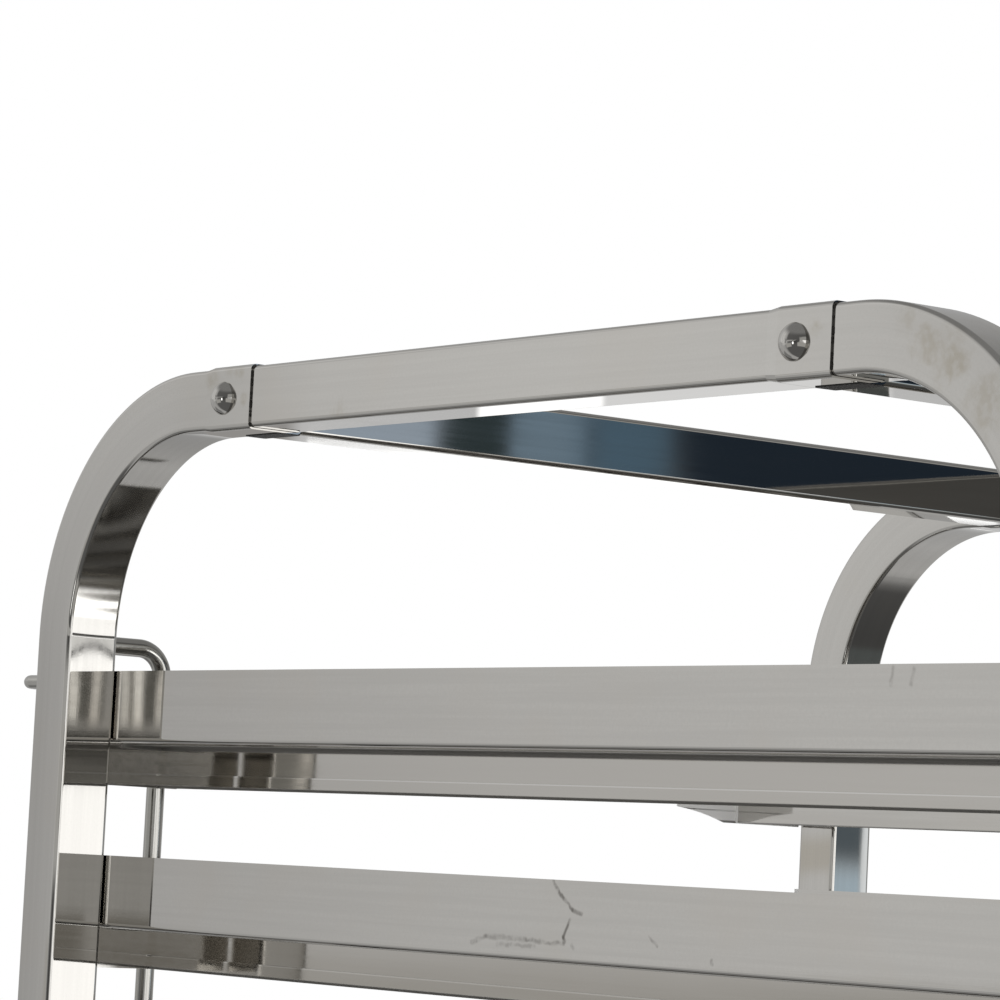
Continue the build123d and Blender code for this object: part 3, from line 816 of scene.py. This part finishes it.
def seam_dirt(materials):
    """Ragged dark dirt in the mouths of the four sockets along the tops of the side frames."""
    loop = dirt_loop()
    count = len(loop)
    lap = (BELL_SIZE - TUBE) / 2
    for end, seam in SEAM_Y.items():
        for side, x in SIDES.items():
            skin = Skin()
            foot, top = [], []
            for number, (at, out) in enumerate(loop):
                width = dirt_width(number, out, seam * SEAM_TURN + x)
                rise = lap * min(DIRT_RISE, width * DIRT_SLOPE)
                foot.append((at, out, width))
                top.append((at + out * rise, out, width * DIRT_TOP_SHARE))
            for at, out, width in foot + top:
                skin.points.append(Vector((POST_X * x + at.x, seam + width, BAR_Z + at.y)))
                skin.normals.append(Vector((out.x, 1.0, out.y)).normalized())
            skin.between(list(range(count)), list(range(count, 2 * count)))
            piece = skin.piece(f"seam_dirt_{end}_{side}", materials["seam_dirt"])
            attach(piece, "frame")


def gap_shadow_sheets(materials):
    """Thin black sheets under the right-hand sockets, along the edge that the cross bars butt against: a
    painted shadow for the gap there.
    """
    section = {"outside": rounded_rectangle(SHADOW_SHEET_WIDTH, SHADOW_SHEET_LENGTH, SHADOW_SHEET_CORNER)}
    across = Vector((1, 0, 0))
    along = Vector((0, 1, 0))
    top_z = BAR_Z - BELL_SIZE / 2
    for end, seam in SEAM_Y.items():
        stations = []
        for z in (top_z - SHADOW_SHEET_THICKNESS, top_z):
            centre = Vector((WEB_X + SHADOW_SHEET_WIDTH / 2, seam - SHADOW_SHEET_TO_SEAM, z))
            stations.append((centre, across, along, section))
        piece = swept(f"gap_shadow_sheet_{end}", stations, materials["plug_plastic"])
        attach(piece, "frame")


# Studio

# Grey levels round the room that the steel mirrors, by heading in degrees: at eye level, below and above
WALLS = [
    (-180, 0.46), (-150, 0.5), (-125, 0.6), (-105, 0.45), (-75, 0.5), (-64, 0.47),
    (-59, 0.48), (-54.5, 0.59), (-52, 0.64), (-45.5, 0.69), (-30, 0.62), (-22, 0.5),
    (-17, 0.2), (5, 0.15), (12, 0.06), (46, 0.1), (51, 0.55), (64, 0.55),
    (68, 1.4), (117, 1.4), (119, 0.4), (138, 0.36), (158, 0.24), (170, 0.44),
]
BELOW = [
    (-180, 0.46), (-174, 0.52), (-162, 0.5), (-148, 0.52), (-125, 0.36), (-60, 0.5), (-40, 0.45),
    (-25, 0.13), (60, 0.13), (112, 0.12), (140, 0.07), (166, 0.09), (172, 0.18), (177, 0.36),
]
ABOVE = [
    (-180, 0.35), (-125, 0.4), (-90, 0.55), (-72, 0.64), (-66.5, 0.76), (-61.5, 0.73), (-59, 0.57),
    (-57.6, 0.63), (-56.3, 0.6), (-54.8, 0.71), (-52, 0.75), (-49, 0.75), (-45.5, 0.66), (-28, 0.45),
    (-20, 0.14), (110, 0.1), (124, 0.05), (136, 0.04), (141, 0.2), (162, 0.26), (180, 0.35),
]
CEILING = 1.2
MIRRORED_CEILING = 0.25
# Heights in degrees between which the room changes to eye level, to above it and to the ceiling
TO_WALLS = (-16.0, -6.0)
TO_ABOVE = (1.5, 6.5)
TO_CEILING = (28.0, 52.0)
# Cards in that room: heading from and to, height from and to, softness, and grey level or colour
CARDS = [
    # Soft light for the other sides of the rack
    (-30, 4, -26, -8, 2, (0.46, 0.455, 0.44)),
    (38, 108, -26, -8, 2, (0.46, 0.455, 0.44)),
    (127, 165, -15.5, -4.5, 1, (0.44, 0.435, 0.42)),
    (48, 142, 13, 26, 3, (0.42, 0.42, 0.41)),
    # Dim floor in front of the rack
    (-118, -60, -60, -28, 4, 0.24),
    # Beyond the rack, mirrored in the undersides of the top bars
    (-133, -124.7, -7.6, -5.62, 0.06, 0.55),
    (-133, -129.1, -7.6, -5.62, 0.06, 0.77),
    (-129.1, -127.4, -7.6, -5.62, 0.06, 1.3),
    (-124.9, -121, -7, -4, 0.15, (0.32, 0.31, 0.3)),
    (-134.5, -125.1, -5.58, -4.95, 0.04, 1.5),
    # To the right, mirrored in the bolt heads and rounded edges
    (-36, -28, -6, 14, 1.5, 0.2),
    (-42, 52, -0.5, 2.6, 0.3, (0.5, 0.5, 0.49)),
    (9, 16, -14, -4, 1.5, 3.0),
    # Behind the camera, mirrored twice in the corner of near post, web and lip
    (58.02, 58.27, 1.6, 3, 0.05, (0.3, 0.3, 0.29)),
    (57.66, 58.02, 1.6, 3, 0.05, (1.1, 1.08, 1.05)),
    (57.05, 57.66, 1.6, 3, 0.06, (0.17, 0.17, 0.16)),
    (56.65, 57.05, 1.6, 3, 0.05, (1.5, 1.5, 1.48)),
    (56.44, 56.65, 1.6, 3, 0.05, (0.25, 0.24, 0.22)),
    (56.07, 56.44, 1.6, 3, 0.05, (1.1, 1.1, 1.08)),
    (49.5, 64, 0.2, 0.95, 0.1, (0.25, 0.25, 0.24)),
    (49.5, 64, 0.95, 1.56, 0.1, (0.08, 0.08, 0.075)),
    (55.65, 56.45, 0.2, 1.56, 0.1, (0.05, 0.05, 0.045)),
    (55.1, 55.65, 0.2, 1.56, 0.1, (1.1, 1.08, 1.05)),
    (49.5, 55.1, 0.2, 1.56, 0.1, (0.32, 0.32, 0.31)),
    (55.6, 58, -2.4, -0.95, 0.1, (0.28, 0.27, 0.25)),
    (50, 64, 1.58, 1.68, 0.03, 0.6),
    # To the right of the front, mirrored in sides that face right
    (-57, -44, -3.5, -1.35, 0.2, (0.47, 0.46, 0.44)),
    (-50.5, -44.5, 0.08, 0.55, 0.12, (0.58, 0.56, 0.52)),
    # To the left of the rear, mirrored in the rear of the near front post
    (110, 127, -20, -6, 3, 2.4),
    (110, 127, -7, 0.84, 0.15, 1.6),
    (110, 125, 1.05, 1.75, 0.25, (0.06, 0.06, 0.055)),
    (110, 125, 2.25, 2.59, 0.03, 1.7),
    (110, 125, 2.59, 2.68, 0.02, 0.02),
    (110, 125, 2.68, 12, 0.03, (0.95, 0.95, 0.94)),
    # The same for the far front post
    (132.1, 139, 0.2, 4, 0.3, (0.11, 0.135, 0.155)),
    (133, 140, -24, -10, 2, (0.1, 0.11, 0.11)),
    (132.1, 139, -4, 0.2, 0.25, (0.5, 0.62, 0.72)),
    (128, 132.1, -4, 4, 0.1, (1.0, 1.05, 1.1)),
    # The same for the front cross bar
    (123, 126.9, 4, 10, 0.2, (0.4, 0.48, 0.58)),
    (126.9, 127.9, 4, 10, 0.2, (0.035, 0.05, 0.055)),
    (127.9, 128.9, 4, 10, 0.12, (0.19, 0.27, 0.35)),
    (128.9, 130.1, 4, 10, 0.4, (0.09, 0.155, 0.22)),
    (130.2, 136, 4, 10, 0.3, (0.018, 0.027, 0.04)),
]
HALF_CIRCLE = 180.0
FULL_CIRCLE = 360.0
DEGREES = HALF_CIRCLE / math.pi

FLOOR_RADIUS = 25.0
FLOOR_STEPS = 96
FLOOR_GREYS = (0.8, 0.84)
FLOOR_SCALE = 3.0
FLOOR_ROUGHNESS = 0.7

LIGHT_HEIGHT = 4.5
LIGHT_SIZE = 3.0
LIGHT_WATTS = 60.0


def card_share(graph, heading, height, sides, soft):
    """One on a card, nought off it, with soft edges."""
    left, right, bottom, top = sides
    edges = [
        graph.remap(heading, left - soft, left + soft),
        graph.remap(heading, right + soft, right - soft),
        graph.remap(height, bottom - soft, bottom + soft),
        graph.remap(height, top + soft, top - soft),
    ]
    return graph.all_of("MULTIPLY", edges)


def room_colour(graph):
    """The colour of the room in every direction."""
    x, y, z = graph.apart(graph.node("ShaderNodeTexCoord").outputs["Generated"])
    heading = graph.math("MULTIPLY", graph.math("ARCTAN2", y, x), DEGREES)
    height = graph.math("MULTIPLY", graph.math("ARCSINE", z), DEGREES)
    turn = graph.math("ADD", graph.math("MULTIPLY", heading, 1.0 / FULL_CIRCLE), 0.5)
    rings = []
    for ring in (WALLS, BELOW, ABOVE):
        stops = [((at + HALF_CIRCLE) / FULL_CIRCLE, level) for at, level in ring]
        rings.append(graph.ramp(turn, stops))
    walls, below, above = rings
    colour = graph.blend(graph.remap(height, *TO_WALLS), below, walls)
    colour = graph.blend(graph.remap(height, *TO_ABOVE), colour, above)
    mirrored = graph.node("ShaderNodeLightPath").outputs["Is Glossy Ray"]
    ceiling = graph.blend(mirrored, CEILING, MIRRORED_CEILING)
    colour = graph.blend(graph.remap(height, *TO_CEILING), colour, ceiling)
    for *sides, soft, light in CARDS:
        colour = graph.blend(card_share(graph, heading, height, sides, soft), colour, light)
    return colour


def studio_room():
    """The room lights the rack and is mirrored in it, while the camera sees plain white."""
    world = bpy.data.worlds.new("studio")
    bpy.context.scene.world = world
    world.use_nodes = True
    graph = Graph(world.node_tree)
    room = graph.node("ShaderNodeBackground")
    graph.put(room_colour(graph), room.inputs["Color"])
    backdrop = graph.node("ShaderNodeBackground")
    backdrop.inputs["Color"].default_value = (1.0, 1.0, 1.0, 1.0)
    either = graph.node("ShaderNodeMixShader")
    graph.put(graph.node("ShaderNodeLightPath").outputs["Is Camera Ray"], either.inputs[0])
    graph.put(room.outputs[0], either.inputs[1])
    graph.put(backdrop.outputs[0], either.inputs[2])
    out = graph.node("ShaderNodeOutputWorld")
    graph.put(either.outputs[0], out.inputs["Surface"])


def floor():
    """A pale round floor, which the steel does not mirror."""
    mesh = bpy.data.meshes.new("floor")
    rim = []
    for angle in turns(FLOOR_STEPS):
        rim.append((FLOOR_RADIUS * math.cos(angle), FLOOR_RADIUS * math.sin(angle), 0.0))
    mesh.from_pydata(rim, [], [list(range(FLOOR_STEPS))])
    obj = bpy.data.objects.new("floor", mesh)
    bpy.context.scene.collection.objects.link(obj)
    obj.visible_glossy = False
    material, graph, surface, place = shader("pale_floor")
    tone = graph.blend(graph.noise(place, FLOOR_SCALE, detail=4.0), *FLOOR_GREYS)
    graph.put(tone, surface.inputs["Base Color"])
    surface.inputs["Roughness"].default_value = FLOOR_ROUGHNESS
    mesh.materials.append(material)


def top_light():
    """A wide soft light over the rack, which neither the camera nor the steel sees."""
    data = bpy.data.lights.new("top_softbox", "AREA")
    data.shape = "RECTANGLE"
    data.size = LIGHT_SIZE
    data.size_y = LIGHT_SIZE
    data.energy = LIGHT_WATTS
    obj = bpy.data.objects.new("top_softbox", data)
    obj.location = (0.0, 0.0, LIGHT_HEIGHT)
    obj.visible_camera = False
    obj.visible_glossy = False
    bpy.context.scene.collection.objects.link(obj)


def camera():
    """The photograph's camera, turned by its heading, pitch and roll."""
    heading = math.radians(CAMERA_HEADING)
    pitch = math.radians(CAMERA_PITCH)
    roll = math.radians(CAMERA_ROLL)
    up = Vector((0, 0, 1))
    ahead = Vector((math.cos(heading), math.sin(heading), 0))
    right = ahead.cross(up)
    forward = ahead * math.cos(pitch) + up * math.sin(pitch)
    raised = up * math.cos(pitch) - ahead * math.sin(pitch)
    across = right * math.cos(roll) + raised * math.sin(roll)
    upward = raised * math.cos(roll) - right * math.sin(roll)
    data = bpy.data.cameras.new("photo_camera")
    data.sensor_fit = "HORIZONTAL"
    data.sensor_width = SENSOR_MM
    data.lens = SENSOR_MM * FOCAL_PIXELS / IMAGE_PIXELS
    obj = bpy.data.objects.new("photo_camera", data)
    bpy.context.scene.collection.objects.link(obj)
    turn = Matrix((across, upward, -forward)).transposed().to_4x4()
    obj.matrix_world = Matrix.Translation(CAMERA_PLACE) @ turn
    bpy.context.scene.camera = obj


finishes = make_materials()
finish_nodes(finishes)
smooth_posts(finishes)
smooth_lock_bar(finishes)
seam_dirt(finishes)
gap_shadow_sheets(finishes)
studio_room()
floor()
top_light()
camera()
bpy.context.scene.view_settings.view_transform = "Standard"
